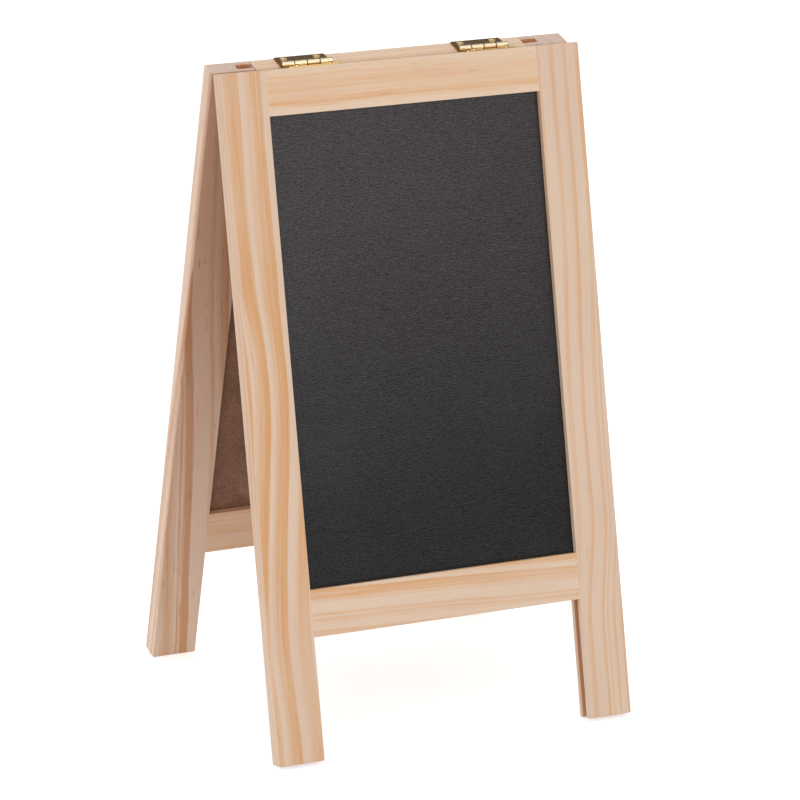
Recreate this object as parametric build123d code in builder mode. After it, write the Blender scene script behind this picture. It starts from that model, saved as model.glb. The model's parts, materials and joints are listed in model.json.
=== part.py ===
from build123d import *
from math import asin, cos, degrees, radians, sin
import os

# Folding A-frame chalkboard, in millimetres. X runs along the hinge line, Y from the front
# board to the rear one and Z up. The origin is on the ground under the hinge line.

# Each frame: two grooved stiles that run down as legs, with two rails between them
leg_length = 317
frame_width = 180
stile_width = 22
top_rail_height = 21
bottom_rail_height = 22
foot_length = 57
wood_thickness = 9.8
arris_radius = 0.6
joint_arris_radius = 0.2
end_chamfer = 0.4

# Groove in the inner edge of every stile and rail, and the stub tongues that fill it
groove_width = 4
stile_groove_depth = 8
rail_groove_depth = 6.5
tongue_end_clearance = 0.3
tongue_side_clearance = 0.1
tongue_setdown = 5

# Board: a hardboard sheet with a black writing film on its outer face
film_thickness = 0.3
board_face_clearance = 0.15
board_edge_clearance = 1

# How the frames stand: the angle of each leg from upright
half_splay = 13.5
frame_gap = 0.5

# Butt hinges laid on the top ends of the frames, with the barrel uppermost
hinge_length = 25.4
left_hinge_inset = 46.5
right_hinge_inset = 44.3
leaf_reach = 9.5
leaf_thickness = 0.6
leaf_corner_radius = 0.6
pin_radius = 0.75
pin_recess = 0.3
pin_end_radius = 0.25
running_clearance = 0.05
knuckle_slots = 4
knuckle_gap = 0.3
barrel_clearance = 0.3

# Round-head nails, two in each leaf
nail_spacing = 16.4
nail_reach = 7.6
nail_length = 10
nail_point_length = 1.6
nail_tip_radius = 0.15
shank_radius = 0.6
shank_clearance = 0.05
head_radius = 1.7
head_height = 0.95

# Sizes worked out from the ones above
opening_width = frame_width - 2 * stile_width
opening_height = leg_length - top_rail_height - bottom_rail_height - foot_length
tongue_length = stile_groove_depth - tongue_end_clearance
tongue_thickness = groove_width - 2 * tongue_side_clearance
board_thickness = groove_width - 2 * board_face_clearance - film_thickness
board_width = opening_width + 2 * (stile_groove_depth - board_edge_clearance)
board_height = opening_height + 2 * (rail_groove_depth - board_edge_clearance)
board_inner_face = (wood_thickness - groove_width) / 2 + board_face_clearance
bore_radius = pin_radius + running_clearance
barrel_radius = bore_radius + leaf_thickness
pin_height = barrel_radius + barrel_clearance
half_gap = frame_gap / 2
knuckle_pitch = hinge_length / knuckle_slots
dome_radius = (head_radius**2 + head_height**2) / (2 * head_height)

# The legs stand on the inner edge of their square-cut feet, which puts the hinge line here
lean = radians(half_splay)
pin_z = (pin_height + leg_length) * cos(lean) - (half_gap + end_chamfer) * sin(lean)
pin_line = Vector(0, 0, pin_z)
along = Vector(1, 0, 0)


class Frame:
    """Directions and points of one frame, which leans back from its feet to the hinge line."""

    def __init__(self, side):
        self.up = Vector(0, -side * sin(lean), cos(lean))
        self.out = Vector(0, side * cos(lean), sin(lean))
        self.across = self.up.cross(self.out)

    def point(self, across, down, out):
        """Across from the centre line, down from the top end and out from the inner face."""
        return (
            pin_line
            + self.across * across
            - self.up * (pin_height + down)
            + self.out * (half_gap + out)
        )


def grooved_bar(plane, width, length, groove_depth):
    """A bar with eased arrises and a groove in the edge that its plane's X points at."""
    with BuildPart() as bar:
        with BuildSketch(plane) as section:
            Rectangle(width, wood_thickness)
            outer_corners, grooved_corners = section.vertices().group_by(Axis.X)
            fillet(outer_corners, arris_radius)
            fillet(grooved_corners, joint_arris_radius)
            with Locations(((width - groove_depth) / 2, 0)):
                Rectangle(groove_depth, groove_width, mode=Mode.SUBTRACT)
        extrude(amount=length)
    return bar


def stile(frame, hand):
    """A leg at the left (hand -1) or right (hand 1), grooved along its inner edge."""
    centre = frame.point(hand * (frame_width - stile_width) / 2, 0, wood_thickness / 2)
    top_end = Plane(origin=centre, x_dir=frame.across * -hand, z_dir=-frame.up)
    bar = grooved_bar(top_end, stile_width, leg_length, stile_groove_depth)
    with BuildPart() as leg:
        add(bar.part)
        ends = leg.faces().sort_by(Axis(centre, frame.up))
        chamfer(ends[0].edges() + ends[-1].edges(), end_chamfer)
    return leg


def rail(frame, height, down, groove_side, setdown):
    """A rail whose groove faces up (groove_side 1) or down (-1), with a stub tongue each end."""
    middle = down + height / 2
    left_end = frame.point(-opening_width / 2, middle, wood_thickness / 2)
    end_plane = Plane(origin=left_end, x_dir=frame.up * groove_side, z_dir=frame.across)
    bar = grooved_bar(end_plane, height, opening_width, rail_groove_depth)
    tongue_height = height - rail_groove_depth - setdown
    tongue_middle = middle + groove_side * (rail_groove_depth - setdown) / 2
    tongue_centre = frame.point(0, tongue_middle, wood_thickness / 2)
    with BuildPart() as finished:
        add(bar.part)
        with BuildSketch(Plane(origin=tongue_centre, x_dir=frame.across, z_dir=frame.out)):
            Rectangle(opening_width + 2 * tongue_length, tongue_height)
        extrude(amount=tongue_thickness / 2, both=True)
    return finished


def sheet(frame, inner_face, thickness):
    """A sheet that fills the grooves all round the opening, from its inner face outwards."""
    middle = top_rail_height + opening_height / 2
    centre = frame.point(0, middle, inner_face)
    with BuildPart() as board:
        with BuildSketch(Plane(origin=centre, x_dir=frame.across, z_dir=frame.out)):
            Rectangle(board_width, board_height)
        extrude(amount=thickness)
    return board


def hinge_centre(frame, hand):
    """Where the left (hand -1) or right (hand 1) hinge sits, measured across this frame."""
    left = left_hinge_inset - frame_width / 2
    right = frame_width / 2 - right_hinge_inset
    return frame.across.X * (left if hand < 0 else right)


def nail_seat(frame, hand, lift):
    """Plane between a leaf's two nails, at a height over the frame's top end."""
    centre = frame.point(hinge_centre(frame, hand), -lift, nail_reach - half_gap)
    return Plane(origin=centre, x_dir=frame.across, z_dir=frame.up)


def drilled_rail(frame):
    """The top rail with a pilot hole for every hinge nail."""
    plain = rail(frame, top_rail_height, 0, -1, tongue_setdown)
    with BuildPart() as finished:
        add(plain.part)
        for hand in (-1, 1):
            with Locations(nail_seat(frame, hand, 0)):
                with GridLocations(nail_spacing, 0, 2, 1):
                    Hole(shank_radius + shank_clearance, depth=nail_length)
    return finished


def hinge_leaf(frame, hand):
    """A flat leaf with every other knuckle of the barrel rolled from its inner edge."""
    centre_x = hinge_centre(frame, hand)
    plate_start = barrel_radius + barrel_clearance
    plate_middle = frame.point(centre_x, 0, (plate_start + leaf_reach) / 2 - half_gap)
    first_end = pin_line + frame.across * (centre_x - hinge_length / 2)
    knuckle_length = knuckle_pitch - knuckle_gap
    neck_end = plate_start + barrel_clearance
    with BuildPart() as leaf:
        with BuildSketch(Plane(origin=plate_middle, x_dir=frame.across, z_dir=frame.up)):
            Rectangle(hinge_length - knuckle_gap, leaf_reach - plate_start)
        extrude(amount=leaf_thickness)
        corners = leaf.edges().filter_by(Axis(plate_middle, frame.up))
        fillet(corners.sort_by(Axis(plate_middle, frame.out))[-2:], leaf_corner_radius)
        for slot in range(1, knuckle_slots, 2):
            start = first_end + frame.across * (slot * knuckle_pitch + knuckle_gap / 2)
            with BuildSketch(Plane(origin=start, x_dir=frame.out, z_dir=frame.across)):
                Circle(barrel_radius)
                with BuildLine():
                    Polyline(
                        (0, barrel_radius),
                        (neck_end, pin_height),
                        (neck_end, pin_height - leaf_thickness),
                        (0, pin_height - leaf_thickness),
                        close=True,
                    )
                make_face()
                Circle(bore_radius, mode=Mode.SUBTRACT)
            extrude(amount=knuckle_length)
        with Locations(nail_seat(frame, hand, leaf_thickness)):
            with GridLocations(nail_spacing, 0, 2, 1):
                Hole(shank_radius + shank_clearance, depth=leaf_thickness)
    return leaf


def hinge_pin(hand):
    """The pin through every knuckle of one hinge, its rounded ends just inside the barrel."""
    centre_x = hinge_centre(frames["front"], hand)
    with BuildPart() as pin:
        with BuildSketch(Plane(origin=pin_line + along * centre_x, z_dir=along)):
            Circle(pin_radius)
        extrude(amount=(hinge_length - knuckle_gap) / 2 - pin_recess, both=True)
        fillet(pin.edges().filter_by(GeomType.CIRCLE), pin_end_radius)
    return pin


def nails(frame, hand):
    """The two nails of one leaf, domed heads on the brass and shanks down in the rail."""
    base_latitude = degrees(asin(1 - head_height / dome_radius))
    below_head = (Align.CENTER, Align.CENTER, Align.MAX)
    above_leaf = (Align.CENTER, Align.CENTER, Align.MIN)
    shaft_length = nail_length - nail_point_length
    with BuildPart() as pair:
        with Locations(nail_seat(frame, hand, leaf_thickness)):
            with GridLocations(nail_spacing, 0, 2, 1):
                Sphere(dome_radius, arc_size1=base_latitude, align=above_leaf)
                Cylinder(shank_radius, shaft_length, align=below_head)
                with Locations((0, 0, -shaft_length)):
                    Cone(nail_tip_radius, shank_radius, nail_point_length, align=below_head)
    return pair


frames = {"front": Frame(-1), "rear": Frame(1)}
hands = {"left": -1, "right": 1}
pieces = {}

for frame_name, frame in frames.items():
    for hand_name, hand in hands.items():
        own_hand = hand * frame.across.X
        pieces[f"{frame_name}_{hand_name}_stile"] = stile(frame, own_hand)
        pieces[f"{hand_name}_hinge_{frame_name}_leaf"] = hinge_leaf(frame, hand)
        pieces[f"{hand_name}_hinge_{frame_name}_nails"] = nails(frame, hand)
    pieces[f"{frame_name}_top_rail"] = drilled_rail(frame)
    bottom_rail_top = top_rail_height + opening_height
    pieces[f"{frame_name}_bottom_rail"] = rail(frame, bottom_rail_height, bottom_rail_top, 1, 0)
    pieces[f"{frame_name}_panel"] = sheet(frame, board_inner_face, board_thickness)
    film_inner_face = board_inner_face + board_thickness
    pieces[f"{frame_name}_chalk_surface"] = sheet(frame, film_inner_face, film_thickness)
for hand_name, hand in hands.items():
    pieces[f"{hand_name}_hinge_pin"] = hinge_pin(hand)

os.makedirs("parts", exist_ok=True)
for name, piece in pieces.items():
    piece.part.label = name
    export_step(piece.part, f"parts/{name}.step")
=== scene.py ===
import json
from collections import namedtuple
from math import atan2, cos, pi, sin

import bpy
from mathutils import Matrix, Vector


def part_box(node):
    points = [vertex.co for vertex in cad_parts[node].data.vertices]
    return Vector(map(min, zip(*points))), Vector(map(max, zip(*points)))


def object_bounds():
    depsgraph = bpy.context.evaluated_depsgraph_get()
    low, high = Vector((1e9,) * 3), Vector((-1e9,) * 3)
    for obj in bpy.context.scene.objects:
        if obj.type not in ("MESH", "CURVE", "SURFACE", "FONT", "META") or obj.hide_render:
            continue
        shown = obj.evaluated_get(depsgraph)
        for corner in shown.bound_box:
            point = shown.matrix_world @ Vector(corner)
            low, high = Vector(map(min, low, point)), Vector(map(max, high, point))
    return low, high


# The folding chalkboard dressed for a studio photograph. Places are in metres in the part's
# own frame, and grain is laid out in millimetres on each board.
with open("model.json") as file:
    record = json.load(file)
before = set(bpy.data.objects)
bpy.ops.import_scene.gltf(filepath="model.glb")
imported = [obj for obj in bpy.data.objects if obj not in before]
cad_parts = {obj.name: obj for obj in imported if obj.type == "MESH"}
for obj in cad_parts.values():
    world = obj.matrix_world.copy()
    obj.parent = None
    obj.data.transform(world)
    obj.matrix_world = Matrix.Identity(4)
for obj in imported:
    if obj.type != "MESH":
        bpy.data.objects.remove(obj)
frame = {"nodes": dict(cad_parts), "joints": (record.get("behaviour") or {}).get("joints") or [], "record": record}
cad_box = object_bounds()
middle = (cad_box[0] + cad_box[1]) / 2

MM = 0.001

# The hinge line and how far each frame leans back from upright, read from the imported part
pin_line = Vector(frame["joints"][0]["pos_m"])
mounts = {mount["name"]: mount for mount in frame["record"]["mounts"]}
front_normal = Vector(mounts["front_face"]["axis"])
lean = atan2(front_normal.z, -front_normal.y)

# Places on a board in millimetres. Depth is from the plane where the folded frames meet, and
# the grooves and shoulders are counted from the frame's centre line
pin_above_top_ends = 1.7
board_middle_depth = 5.15
half_groove_width = 2
stile_groove_bottom = 76
rail_shoulder = 68

# Where the painted shade on the inner face ends, into the board and along it, and where the painted light near a
# stile's foot gives way to painted shade on its narrow sides
inner_shade_depths = (1, 5)
inner_shade_foot, inner_shade_top = -270, -40
painted_side_light_ends = (-270, -190)

# Hinge barrel: its knuckles and the joints between them, how far from a joint's middle the
# painted shade reaches, and how far from the pin line the barrel ends and the flat leaf starts
knuckle_count = 4
joint_width = 0.3 * MM
joint_shade_reach = 0.4 * MM
barrel_end = 1.5 * MM
leaf_start = 1.9 * MM

# Camera, solved from the corners of the object in the photograph
camera_place = Vector((-0.8554214, -1.8684731, 0.7948720))
camera_yaw = 0.4320050
camera_pitch = -0.3071786
camera_roll = 0.0151272
camera_lens = 205.8564
sensor_width = 36

# Timber colours, as linear values
EARLYWOOD = (0.710, 0.533, 0.399, 1)
LATEWOOD = (0.655, 0.345, 0.151, 1)
RESIN = (0.280, 0.130, 0.065, 1)
END_GRAIN = (0.780, 0.610, 0.515, 1)
END_LATEWOOD = (0.490, 0.290, 0.200, 1)
END_PORES = (0.380, 0.240, 0.180, 1)

# Casts that multiply the timber's colour
NO_CAST = (1.0, 1.0, 1.0)
PINK_CAST = (0.960, 0.860, 0.830, 1)
# Painted shade inside the grooves and on the tongues in them
GROOVE_SHADE_CAST = (0.980, 0.740, 0.580, 1)
# Painted shade on the inner face, between the frames
INNER_FACE_SHADE_CAST = (0.690, 0.540, 0.460, 1)
# Painted light on the stiles' narrow sides near the foot, and painted shade higher up
LOWER_SIDE_PAINTED_LIGHT = (1.030, 1.110, 1.190, 1)
UPPER_SIDE_PAINTED_SHADE = (0.940, 0.945, 0.950, 1)

# Colours of the hardboard, its film, the brass and the studio
FIBRE_DARK = (0.105, 0.042, 0.020, 1)
FIBRE_PALE = (0.300, 0.146, 0.080, 1)
FIBRE_CURL = (0.420, 0.250, 0.160, 1)
# The film's colour with painted shade in its grain's hollows and painted light on its ridges
FILM_PAINTED_HOLLOW_SHADE = (0.008, 0.0045, 0.0055, 1)
FILM_PAINTED_RIDGE_LIGHT = (0.022, 0.0165, 0.018, 1)
CHALK_HAZE = (0.150, 0.150, 0.155, 1)
CHALK_DUST = (0.250, 0.250, 0.250, 1)
LEAF_BRASS = (0.860, 0.560, 0.310, 1)
NAIL_BRASS = (0.520, 0.360, 0.170, 1)
# The pin's brass is painted dark, as the shade in the gaps between the knuckles where it shows
PIN_BRASS_IN_SHADE = (0.200, 0.120, 0.060, 1)
# The barrel's painted sheen, and the painted dark reflection on its underside
BARREL_PAINTED_SHEEN = (0.975, 0.840, 0.560, 1)
BARREL_PAINTED_UNDERSIDE_REFLECTION = (0.340, 0.150, 0.035, 1)
CUT_BRASS = (0.400, 0.240, 0.090, 1)
# Painted shade in the joints between the knuckles
KNUCKLE_JOINT_SHADE = (0.100, 0.050, 0.022, 1)
PAPER = (0.94, 0.94, 0.94, 1)
WHITE = (1, 1, 1, 1)

# Textures of the wood: how often the noise changes in a millimetre across, into and along the
# grain, then the noise's detail and roughness
Texture = namedtuple("Texture", "across depth along detail roughness", defaults=(0.5,))
WANDER = Texture(0.05, 0.05, 0.014, 2.5, 0.45)
FADE = Texture(0.09, 1, 0.012, 1)
WARMTH = Texture(0.08, 0.08, 0.02, 2)
STREAKS = Texture(1.6, 1.6, 0.035, 2, 0.6)
DASHES = Texture(1.6, 1.6, 0.065, 1, 0.4)
RING_LINES = Texture(2.0, 0.15, 0.013, 3, 0.65)
MOTTLE = Texture(2.2, 2.2, 0.45, 2, 0.6)
FIBRES = Texture(5.5, 5.5, 0.16, 3, 0.65)

# How a board was cut from its log, in millimetres. Pith and mark are (across, depth): the log's
# centre, and a point of the top or left end that the bands are counted from. A band is a year's
# latewood, (start, end, strength) outwards from the mark, and the bands repeat after period. A
# band's fourth number is the strength that stays between it and the next. Drift is a slant of
# the grain, and wander the width of its slow waves. A sweep is (from, to, shift, spread) along
# the grain: a shift aside at the mark, and how much it grows for each millimetre across from
# there. Tint multiplies the colour, and brown the latewood's alone. The inner shade is the share
# of painted shade on the inner face at the top end, where the frames close. A tone is (from, to,
# low, high) along the grain, and multiplies the latewood's strength. Edge is the width over
# which a band ends.
Board = namedtuple(
    "Board",
    "pith mark period bands drift sweeps wander resin tint seed brown heart tones edge",
    defaults=(NO_CAST, 0, (), 0.4),
)


class Nodes:
    """A node tree that is built one step at a time."""

    def __init__(self, tree):
        self.tree = tree

    def node(self, kind, inputs, **settings):
        made = self.tree.nodes.new("ShaderNode" + kind)
        for setting, value in settings.items():
            setattr(made, setting, value)
        for socket, value in inputs.items():
            self.feed(made.inputs[socket], value)
        return made

    def feed(self, socket, value):
        if isinstance(value, bpy.types.NodeSocket):
            self.tree.links.new(value, socket)
        else:
            socket.default_value = value

    def math(self, operation, *values):
        return self.node("Math", dict(enumerate(values)), operation=operation).outputs[0]

    def add(self, *values):
        total = values[0]
        for value in values[1:]:
            total = self.math("ADD", total, value)
        return total

    def less(self, a, b):
        return self.math("SUBTRACT", a, b)

    def times(self, a, b):
        return self.math("MULTIPLY", a, b)

    def absolute(self, value):
        return self.math("ABSOLUTE", value)

    def distance(self, a, b):
        return self.math("SQRT", self.add(self.times(a, a), self.times(b, b)))

    def swing(self, noise, amount):
        """A noise's departure from its middle value, times an amount."""
        return self.times(self.less(noise, 0.5), amount)

    def step(self, value, start, end, low=0, high=1):
        """Goes smoothly from low at start to high at end."""
        inputs = {"Value": value, "From Min": start, "From Max": end, "To Min": low, "To Max": high}
        return self.node("MapRange", inputs, interpolation_type="SMOOTHSTEP").outputs[0]

    def within(self, value, edge):
        """1 where a value lies between an edge and its negative, and 0 from just past them."""
        return self.step(self.absolute(value), edge + 0.02, edge + 0.10, low=1, high=0)

    def faces(self, part, start=0.75, end=0.95):
        """1 where the surface faces along an axis, by that part of its normal."""
        return self.step(self.absolute(part), start, end)

    def seen(self):
        """1 for the camera's rays, also by way of a reflection or glass, and 0 for other light."""
        rays = self.node("LightPath", {}).outputs
        seen = self.math("MAXIMUM", rays["Is Camera Ray"], rays["Is Glossy Ray"])
        return self.math("MAXIMUM", seen, rays["Is Transmission Ray"])


class Shader(Nodes):
    """A material's node tree, which ends in its surface shader."""

    def __init__(self, name):
        self.material = bpy.data.materials.new(name)
        self.material.use_nodes = True
        super().__init__(self.material.node_tree)
        self.surface = self.tree.nodes["Principled BSDF"]

    def coordinates(self, kind):
        return self.node("TexCoord", {}).outputs[kind]

    def stretched(self, place, scale):
        return self.node("Mapping", {"Vector": place, "Scale": scale}).outputs[0]

    def parts(self, vector):
        return self.node("SeparateXYZ", {"Vector": vector}).outputs.values()

    def noise(self, place, scale=1, detail=2, roughness=0.5):
        inputs = {"Vector": place, "Scale": scale, "Detail": detail, "Roughness": roughness}
        return self.node("TexNoise", inputs).outputs["Fac"]

    def texture(self, kind, across, depth, along, shift=(0, 0, 0)):
        """One of the wood's textures, drawn out along its grain."""
        inputs = {
            "X": self.times(across, kind.across),
            "Y": self.times(depth, kind.depth),
            "Z": self.times(along, kind.along),
        }
        place = self.node("CombineXYZ", inputs).outputs[0]
        shifted = self.node("VectorMath", {0: place, 1: shift}).outputs[0]
        return self.noise(shifted, 1, kind.detail, kind.roughness)

    def mix(self, share, a, b, blend="MIX"):
        inputs = {0: share, 6: a, 7: b}
        return self.node("Mix", inputs, data_type="RGBA", blend_type=blend).outputs[2]

    def cast(self, colour, factor, share=1.0):
        return self.mix(share, colour, factor, "MULTIPLY")

    def bump(self, height, distance, strength=1.0, normal=None):
        inputs = {"Height": height, "Distance": distance, "Strength": strength}
        if normal is not None:
            inputs["Normal"] = normal
        return self.node("Bump", inputs).outputs[0]

    def finished(self, sockets):
        """Feeds the surface shader, and returns the material."""
        for socket, value in sockets.items():
            self.feed(self.surface.inputs[socket], value)
        return self.material


def board_place(s, side):
    """Millimetres on a board: X across, Y towards the rear, Z up from its top end."""
    turn = -side * lean
    turned_pin = Matrix.Rotation(turn, 3, "X") @ pin_line / MM
    inputs = {
        "Vector": s.coordinates("Object"),
        "Scale": (1 / MM, 1 / MM, 1 / MM),
        "Rotation": (turn, 0, 0),
        "Location": Vector((0, 0, pin_above_top_ends)) - turned_pin,
    }
    return s.node("Mapping", inputs).outputs[0]


def board_normal(s, side):
    """The surface's normal in a board's own directions."""
    inputs = {"Vector": s.coordinates("Normal"), "Rotation": (-side * lean, 0, 0)}
    return s.node("Mapping", inputs, vector_type="NORMAL").outputs[0]


def bent_grain(s, board, across, depth, along):
    """Places across the log, by grain that waves slowly and was swept aside past a branch."""
    own_waves = (board.seed, 3.1 * board.seed, 0)
    wander = s.texture(WANDER, across, depth, along, shift=own_waves)
    bent = s.add(across, s.swing(wander, board.wander), s.times(along, board.drift))
    for start, end, shift, spread in board.sweeps:
        moved = s.add(shift, s.times(s.less(across, board.mark[0]), spread))
        bent = s.less(bent, s.times(s.step(along, start, end), moved))
    return bent


def rings(s, board, radius, streaks):
    """Each year's latewood, which deepens towards autumn and ends in a sharper ragged edge."""
    lead_in = 1
    raggedness = 3
    whole_turns = 40
    widest_rise = 1.2
    rises_in_band = 3.5
    share_after_rise = 0.74
    edge_inside_band = 0.62

    # Turns count periods of rings from just before the first band, and stay above zero
    reach = (Vector(board.mark) - Vector(board.pith)).length
    first = board.bands[0][0] - lead_in
    ragged = s.swing(streaks, raggedness * board.edge)
    turns = s.times(s.add(s.less(radius, reach + first), ragged), 1 / board.period)
    ramp = s.node("ValToRGB", {"Fac": s.math("FRACT", s.add(turns, whole_turns))})
    stops = ramp.color_ramp.elements
    stops[0].position, stops[1].position = 0, 1
    stops[1].color = (0, 0, 0, 1)
    before = 0
    for start, end, strength, *rest in board.bands:
        rise = min(widest_rise, (end - start) / rises_in_band)
        after = rest[0] if rest else 0
        shape = (
            (start - rise, before),
            (start + rise, share_after_rise * strength),
            (end - edge_inside_band * board.edge, strength),
            (end + (1 - edge_inside_band) * board.edge, after),
        )
        for at, value in shape:
            stops.new((at - first) / board.period).color = (value, value, value, 1)
        before = after
    return ramp.outputs[0]


def wood(name, side, upright, board):
    """Planed pine: growth rings about the log's pith, fibres, resin flecks and end grain."""
    s = Shader(name)
    place = board_place(s, side)
    x, y, z = s.parts(place)
    across, depth, along = (x, y, z) if upright else (z, y, x)
    bent = bent_grain(s, board, across, depth, along)
    radius = s.distance(s.less(bent, board.pith[0]), s.less(depth, board.pith[1]))
    streaks = s.texture(STREAKS, bent, depth, along)
    fibres = s.texture(FIBRES, bent, depth, along)

    # Rings that are stronger in some places than in others
    late = rings(s, board, radius, streaks)
    fade = s.texture(FADE, bent, board.seed, along)
    late = s.times(late, s.step(fade, 0.3, 0.7, low=0.78, high=1.2))
    for tone in board.tones:
        late = s.times(late, s.step(along, *tone))
    # Painted shade: where the inner face is painted in shade, its latewood is painted stronger too, and weaker
    # further into the board
    if board.heart:
        late = s.times(late, s.step(s.absolute(depth), *inner_shade_depths, low=1.35, high=0.8))

    # Lines that follow the rings, streaks and fibres, all clearer in the latewood
    lines = s.texture(RING_LINES, radius, depth, along)
    mottle = s.texture(MOTTLE, bent, depth, along)
    inner_lines = s.swing(lines, s.add(s.times(late, 2.2), 0.35))
    grainy = s.add(s.swing(streaks, 0.45), s.swing(fibres, 0.6), s.swing(mottle, 0.35))
    late = s.add(late, inner_lines, s.times(grainy, s.add(s.times(late, 0.5), 0.55)))
    late = s.math("MINIMUM", s.math("MAXIMUM", late, 0.0), 1.0)
    latewood = [a * b for a, b in zip(LATEWOOD, (*board.brown, 1))]
    colour = s.cast(s.mix(late, EARLYWOOD, latewood), (*board.tint, 1))

    # Soft drift from yellow to pink over the board
    warmth = s.texture(WARMTH, across, depth, along)
    colour = s.cast(colour, PINK_CAST, s.step(warmth, 0.35, 0.65, high=0.35))

    # Resin canals, short dark dashes along the grain
    dashes = s.texture(DASHES, bent, depth, along)
    colour = s.mix(s.step(dashes, 0.725, 0.775, high=board.resin), colour, RESIN)

    # Painted shade: grooves and tongues are painted a deeper, darker orange, as the shade inside the slots
    if upright:
        in_joint = s.within(across, stile_groove_bottom)
    else:
        in_joint = s.less(1, s.within(along, rail_shoulder))
    in_middle = s.within(s.less(depth, side * board_middle_depth), half_groove_width)
    groove_shade = s.times(in_joint, in_middle)
    colour = s.cast(colour, GROOVE_SHADE_CAST, groove_shade)

    # Painted shade on the inner face between the frames, redder and darker towards the top end where they close
    if board.heart:
        inward = s.step(s.absolute(depth), *inner_shade_depths, low=1, high=0)
        share = s.step(along, inner_shade_foot, inner_shade_top, low=0.05, high=board.heart)
        colour = s.cast(colour, INNER_FACE_SHADE_CAST, s.times(share, s.less(inward, groove_shade)))

    # Painted light and shade: the stiles' narrow sides are painted paler near the foot and a little darker higher
    # up, as the light falls on them
    normal_x, _, normal_z = s.parts(board_normal(s, side))
    if upright:
        side_painted_light = s.mix(s.step(along, *painted_side_light_ends), LOWER_SIDE_PAINTED_LIGHT, UPPER_SIDE_PAINTED_SHADE)
        colour = s.cast(colour, side_painted_light, s.faces(normal_x))

    # Where the cut crosses the grain the surface is greyer, with the rings still showing
    cut_across = s.faces(normal_z if upright else normal_x)
    pores = s.noise(place, scale=2.0, detail=3, roughness=0.7)
    end_colour = s.mix(s.times(late, 0.28), END_GRAIN, END_LATEWOOD)
    end_colour = s.mix(s.step(pores, 0.38, 0.62, high=0.50), end_colour, END_PORES)
    colour = s.mix(cut_across, colour, end_colour)

    # Relief: fibres and rings stand a few hundredths of a millimetre apart
    strands = s.add(s.times(fibres, 0.7), s.times(streaks, 0.5))
    relief = s.bump(strands, 0.05 * MM, strength=0.6)
    relief = s.bump(pores, 0.08 * MM, strength=s.times(cut_across, 0.7), normal=relief)
    relief = s.bump(late, 0.03 * MM, strength=0.5, normal=relief)
    roughness = s.add(0.52, s.times(fibres, 0.16), s.times(late, -0.06), s.times(cut_across, 0.2))
    return s.finished({
        "Base Color": colour,
        "Roughness": roughness,
        "Specular IOR Level": 0.35,
        "Normal": relief,
    })


def hardboard():
    """Brown pressed fibre, mottled and faintly glossy."""
    s = Shader("pressed_fibre_board")
    place = s.coordinates("Object")
    blotches = s.noise(place, scale=90, detail=3, roughness=0.6)
    flecks = s.noise(place, scale=900, detail=3, roughness=0.7)
    curls = s.noise(place, scale=2600, detail=2, roughness=0.6)
    tone = s.add(s.times(blotches, 0.25), s.times(flecks, 0.4), s.times(curls, 0.35))
    colour = s.mix(s.step(tone, 0.35, 0.65), FIBRE_DARK, FIBRE_PALE)
    return s.finished({
        "Base Color": s.mix(s.step(curls, 0.62, 0.75, high=0.5), colour, FIBRE_CURL),
        "Roughness": s.add(0.5, s.times(flecks, 0.3)),
        "Normal": s.bump(s.add(flecks, curls), 0.06 * MM, strength=0.8),
    })


def chalk_film():
    """Black writing film with a fine leathery grain, a little dust and old chalk haze."""
    s = Shader("black_writing_film")
    crease_gap = 1.0 * MM
    crease_sway = 16
    place = s.coordinates("Object")
    height = s.parts(place)[2]

    # Level creases that sway and break up, between finer ridges and pits
    drawn_out = s.stretched(place, (850, 850, 3700))
    ridges = s.noise(drawn_out, scale=1.0, detail=1)
    pits = s.noise(drawn_out, scale=1.7, detail=1)
    sway = s.noise(s.stretched(place, (450, 450, 700)), detail=1)
    phase = s.add(s.times(height, 2 * pi / crease_gap), s.times(sway, crease_sway))
    creases = s.math("SINE", phase)
    grain = s.add(s.times(ridges, 0.27), s.times(pits, 0.23), s.times(creases, 0.06), 0.25)

    # Painted sheen and shade: darker towards the bottom and paler towards the top, as the film's gloss catches the
    # light, with haze and specks of chalk
    painted_shade_height, painted_sheen_height = 0.05, 0.27
    haze = s.noise(place, scale=14, detail=3, roughness=0.6)
    dust = s.noise(place, scale=420, detail=1)
    # Painted shade in the grain's hollows and painted light on its ridges
    colour = s.mix(s.step(grain, 0.38, 0.62), FILM_PAINTED_HOLLOW_SHADE, FILM_PAINTED_RIDGE_LIGHT)
    colour = s.cast(colour, s.step(height, painted_shade_height, painted_sheen_height, high=1.35))
    colour = s.mix(s.step(haze, 0.4, 0.75, high=0.03), colour, CHALK_HAZE)
    return s.finished({
        "Base Color": s.mix(s.step(dust, 0.82, 0.88, high=0.25), colour, CHALK_DUST),
        "Roughness": s.add(0.27, s.times(haze, 0.08)),
        "Specular IOR Level": s.step(grain, 0.32, 0.68, low=0.26, high=0.76),
        "Normal": s.bump(grain, 0.14 * MM),
    })


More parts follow.
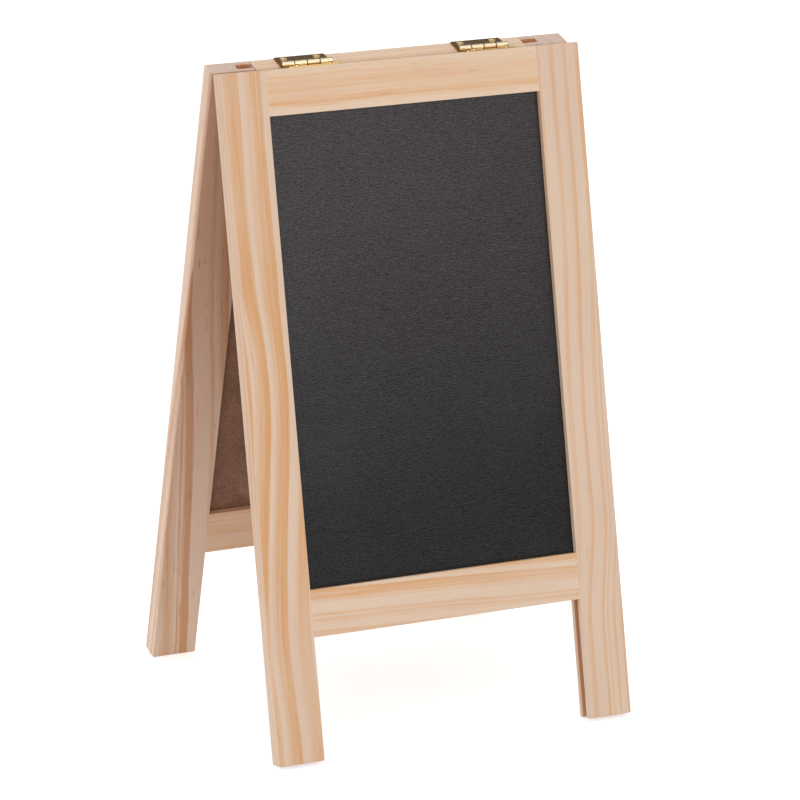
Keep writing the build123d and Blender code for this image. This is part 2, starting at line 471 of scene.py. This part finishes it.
def brass(name, colour, roughness, first_joint=None, pitch=None):
    """Polished brass, scratched and a little tarnished, with a barrel where it has joints."""
    s = Shader(name)
    place = s.coordinates("Object")
    scratches = s.noise(s.stretched(place, (250, 6000, 6000)), detail=2, roughness=0.6)
    tarnish = s.noise(place, scale=260, detail=3, roughness=0.6)
    darker = [0.66 * part for part in colour[:3]] + [1]
    tone = s.mix(s.step(tarnish, 0.5, 0.8, high=0.5), colour, darker)
    if pitch:
        x, y, z = s.parts(place)
        rise = s.less(z, pin_line.z)
        from_pin = s.distance(y, rise)
        on_barrel = s.step(from_pin, barrel_end, leaf_start, low=1, high=0)
        roughness = s.step(from_pin, barrel_end, leaf_start, low=0.04, high=roughness)

        # Painted sheen and reflection: the barrel is painted brighter than the leaves, as its curve catches the
        # light, and darker on its underside, as the dark reflection it shows there
        barrel_sheen = s.times(on_barrel, s.step(tarnish, 0.5, 0.8, low=1, high=0.7))
        tone = s.mix(barrel_sheen, tone, BARREL_PAINTED_SHEEN)
        underside_reflection = s.times(s.step(rise, -1.0 * MM, -0.45 * MM, low=1, high=0), on_barrel)
        dim = s.times(underside_reflection, s.step(tarnish, 0.35, 0.6, low=0.95, high=0.5))
        tone = s.mix(dim, tone, BARREL_PAINTED_UNDERSIDE_REFLECTION)

        # Painted shade fills the joints between the knuckles and spreads a little past them
        whole_turns = 10
        turns = s.times(s.less(x, first_joint), 1 / pitch)
        from_middle = s.absolute(s.less(s.math("FRACT", s.add(turns, whole_turns)), 0.5))
        from_joint = s.times(s.less(0.5, from_middle), pitch)
        joint_shade = s.step(from_joint, joint_width / 2, joint_shade_reach, low=0.85, high=0)
        tone = s.mix(s.times(joint_shade, on_barrel), tone, KNUCKLE_JOINT_SHADE)

        # The sheet's cut edges are duller than its rolled faces
        normal_x, normal_y, _ = s.parts(s.coordinates("Normal"))
        sideways = s.math("MAXIMUM", s.absolute(normal_x), s.absolute(normal_y))
        cut_edge = s.times(s.faces(sideways, start=0.85), s.less(1.0, on_barrel))
        tone = s.mix(cut_edge, tone, CUT_BRASS)
    return s.finished({
        "Base Color": tone,
        "Metallic": 1.0,
        "Roughness": s.add(roughness, s.times(scratches, 0.08), s.times(tarnish, 0.06)),
        "Normal": s.bump(scratches, 0.01 * MM, strength=0.35),
    })


# Rings, grain and bends of the eight boards
boards = {
    "front_left_stile": Board(
        pith=(-107, 27.4), mark=(-90, -10), period=34,
        bands=[
            (-7.2, -3.8, 0.45), (-2.6, -1.0, 0.6), (0.3, 3.9, 0.9), (6.1, 10.9, 0.9),
            (14.8, 20.6, 0.75),
        ],
        drift=0, sweeps=[(-97, -132, 4.8, -0.22), (-138, -262, -12, 0), (-266, -305, 2, 0)],
        wander=2.5, resin=0.4, tint=(0.960, 0.957, 0.957), seed=1.0,
        tones=[(-280, -190, 0.58, 1.0), (-115, -60, 1.3, 0.82)],
    ),
    "front_right_stile": Board(
        pith=(-20, 30), mark=(68, -10), period=36,
        bands=[
            (-1.4, 1.2, 0.40), (5.6, 8.0, 0.44), (12.0, 14.0, 0.52), (18.4, 20.2, 0.55),
            (21.4, 22.2, 0.48), (24.2, 25.2, 0.5), (28, 29.2, 0.5),
        ],
        drift=0, sweeps=[(-60, -180, -4.3, 0), (-215, -275, -5.5, 0)],
        wander=2.0, resin=0.5, tint=(0.962, 0.960, 0.960), seed=5.0,
    ),
    "front_top_rail": Board(
        pith=(40, 40), mark=(0, -10), period=26,
        bands=[(1.4, 7.5, 0.44, 0.24), (9.1, 12.1, 0.70), (16, 18, 0.6), (21, 23, 0.5)],
        drift=0, sweeps=[], wander=3.0, resin=0.5, tint=(1.03, 1.035, 1.01), seed=9.0, edge=1.6,
    ),
    "front_bottom_rail": Board(
        pith=(-310, 30), mark=(-238, -10), period=26,
        bands=[
            (-20, -18.0, 0.5), (-15.2, -13.2, 0.4), (-12.8, -11.6, 0.55), (-7.0, -2.4, 0.74),
            (-0.2, 3.0, 0.85),
        ],
        drift=0.04, sweeps=[], wander=2.5, resin=0.3, tint=(0.990, 0.995, 0.995), seed=13.0,
    ),
    "rear_left_stile": Board(
        pith=(-124.9, -30), mark=(-94.9, 0.2), period=24,
        bands=[(-8.3, -3.6, 0.8), (-3.5, 0, 1.0), (6.2, 8.0, 0.35), (10.3, 14.3, 0.6)],
        drift=0.053, sweeps=[(-95, -210, 4.8, 0), (-255, -310, 1.2, 0)],
        wander=1.0, resin=0.75, tint=(1.07, 1.07, 1.11), seed=17.0,
        brown=(0.84, 0.86, 1.0), heart=0.95,
    ),
    "rear_right_stile": Board(
        pith=(30, -15), mark=(76, 10), period=24,
        bands=[(-6, -3, 0.6), (1, 3.4, 0.7), (8, 10.5, 0.6), (14, 15.5, 0.5)],
        drift=0.01, sweeps=[(-120, -220, 3, 0)],
        wander=3.0, resin=0.7, tint=NO_CAST, seed=21.0,
    ),
    "rear_top_rail": Board(
        pith=(40, -30), mark=(0, 10), period=24,
        bands=[(-3, -1.5, 0.3), (4, 7, 0.5), (12, 14, 0.6), (18, 19.5, 0.5)],
        drift=0.01, sweeps=[], wander=3.0, resin=0.5, tint=(1.15, 1.18, 1.18), seed=25.0,
    ),
    "rear_bottom_rail": Board(
        pith=(-170, 30), mark=(-238, 0), period=24,
        bands=[(-1.0, 5.2, 0.7), (5.5, 12.3, 0.42), (18.5, 20, 0.4)],
        drift=0.01, sweeps=[], wander=1.5, resin=0.5, tint=(1.06, 0.97, 0.91), seed=29.0,
    ),
}

brass_nail = brass("brass_nail", NAIL_BRASS, 0.12)
# Painted shade: the pin is dark brass, so the gaps between the knuckles read as shade
pin_brass_in_shade = brass("pin_brass_in_shade", PIN_BRASS_IN_SHADE, 0.20)
fibre_board = hardboard()
writing_film = chalk_film()


def dress(node_name, material):
    """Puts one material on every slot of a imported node."""
    mesh = frame["nodes"][node_name].data
    mesh.materials.clear()
    mesh.materials.append(material)


for name, board in boards.items():
    side = -1 if name.startswith("front") else 1
    dress(name, wood("pine_" + name, side, name.endswith("stile"), board))
for frame_name in ("front", "rear"):
    dress(frame_name + "_panel", fibre_board)
    dress(frame_name + "_chalk_surface", writing_film)
for hand in ("left", "right"):
    dress(hand + "_hinge_pin", pin_brass_in_shade)
    left_end, right_end = (corner[0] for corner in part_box(hand + "_hinge_front_leaf"))
    first_joint = left_end - joint_width / 2
    pitch = (right_end - left_end + joint_width) / knuckle_count
    brass_leaf = brass(hand + "_brass_sheet", LEAF_BRASS, 0.10, first_joint, pitch)
    for frame_name in ("front", "rear"):
        dress(f"{hand}_hinge_{frame_name}_leaf", brass_leaf)
        dress(f"{hand}_hinge_{frame_name}_nails", brass_nail)


def rectangle(name, width, height, material):
    """A flat rectangle about the origin, facing up."""
    corners = [(-1, -1), (1, -1), (1, 1), (-1, 1)]
    mesh = bpy.data.meshes.new(name)
    mesh.from_pydata([(width / 2 * x, height / 2 * y, 0) for x, y in corners], [], [range(4)])
    mesh.materials.append(material)
    made = bpy.data.objects.new(name, mesh)
    bpy.context.scene.collection.objects.link(made)
    return made


def floor():
    """White paper floor that keeps a soft shadow."""
    floor_size = 12.0
    s = Shader("white_paper")
    paper = s.finished({
        "Base Color": PAPER,
        "Roughness": 0.9,
        "Specular IOR Level": 0.0,
        "Emission Color": WHITE,
        "Emission Strength": s.times(s.seen(), 0.5),
    })
    made = rectangle("studio_floor", floor_size, floor_size, paper)


def studio_world():
    """Even light all round, and plain white wherever the background itself is seen."""
    world = bpy.data.worlds.new("studio")
    world.use_nodes = True
    sky = Nodes(world.node_tree)
    background = sky.tree.nodes["Background"]
    strength = sky.node("MapRange", {"Value": sky.seen(), "To Min": 0.76, "To Max": 1.0})
    sky.feed(background.inputs["Strength"], strength.outputs[0])
    sky.feed(background.inputs["Color"], WHITE)
    bpy.context.scene.world = world


def softbox(name, place, size, power):
    """A square lamp that faces the middle of the object."""
    light = bpy.data.lights.new(name, "AREA")
    light.shape = "SQUARE"
    light.size = size
    light.energy = power
    lamp = bpy.data.objects.new(name, light)
    lamp.location = place
    lamp.rotation_mode = "QUATERNION"
    lamp.rotation_quaternion = (middle - Vector(place)).to_track_quat("-Z", "Y")
    bpy.context.scene.collection.objects.link(lamp)


def dark_card(name, direction, distance, width, height, shade):
    """A dark card seen only in gloss and metal, as the unlit part of a studio would be."""
    s = Shader(name + "_paper")
    paper = s.finished({"Base Color": (shade, shade, shade, 1), "Roughness": 1.0})
    made = rectangle(name, width, height, paper)
    centre = middle + Vector(direction).normalized() * distance
    toward = (middle - centre).to_track_quat("Z", "Y").to_matrix().to_4x4()
    made.matrix_world = Matrix.Translation(centre) @ toward
    made.visible_camera = False
    made.visible_diffuse = False
    made.visible_shadow = False


def camera():
    """The photograph's viewpoint, from its yaw, pitch and roll."""
    level_ahead = Vector((sin(camera_yaw), cos(camera_yaw), 0)) * cos(camera_pitch)
    ahead = level_ahead + Vector((0, 0, sin(camera_pitch)))
    level_right = Vector((cos(camera_yaw), -sin(camera_yaw), 0))
    level_up = level_right.cross(ahead)
    right = level_right * cos(camera_roll) + level_up * sin(camera_roll)
    up = level_up * cos(camera_roll) - level_right * sin(camera_roll)
    lens = bpy.data.cameras.new("camera")
    lens.lens = camera_lens
    lens.sensor_width = sensor_width
    lens.clip_start = 0.05
    lens.clip_end = 50
    made = bpy.data.objects.new("camera", lens)
    turn = Matrix((right, up, -ahead)).transposed()
    made.matrix_world = Matrix.Translation(camera_place) @ turn.to_4x4()
    bpy.context.scene.collection.objects.link(made)
    bpy.context.scene.camera = made


floor()
studio_world()
softbox("left_softbox", place=(-1.5, -1.3, 0.6), size=1.2, power=6)
softbox("front_softbox", place=(0.3, -1.9, 0.35), size=1.0, power=6)
softbox("rear_softbox", place=(-1.6, 0.8, 0.5), size=1.0, power=4)
softbox("top_softbox", place=(0.0, 0.1, 1.9), size=0.7, power=3)
dark_card("high_card", (0.42, 0.62, 0.66), distance=2.2, width=2.4, height=1.5, shade=0.13)
dark_card("low_card", (0.41, -0.91, 0.03), distance=1.1, width=1.6, height=0.38, shade=0.02)
camera()
bpy.context.scene.view_settings.view_transform = "Standard"
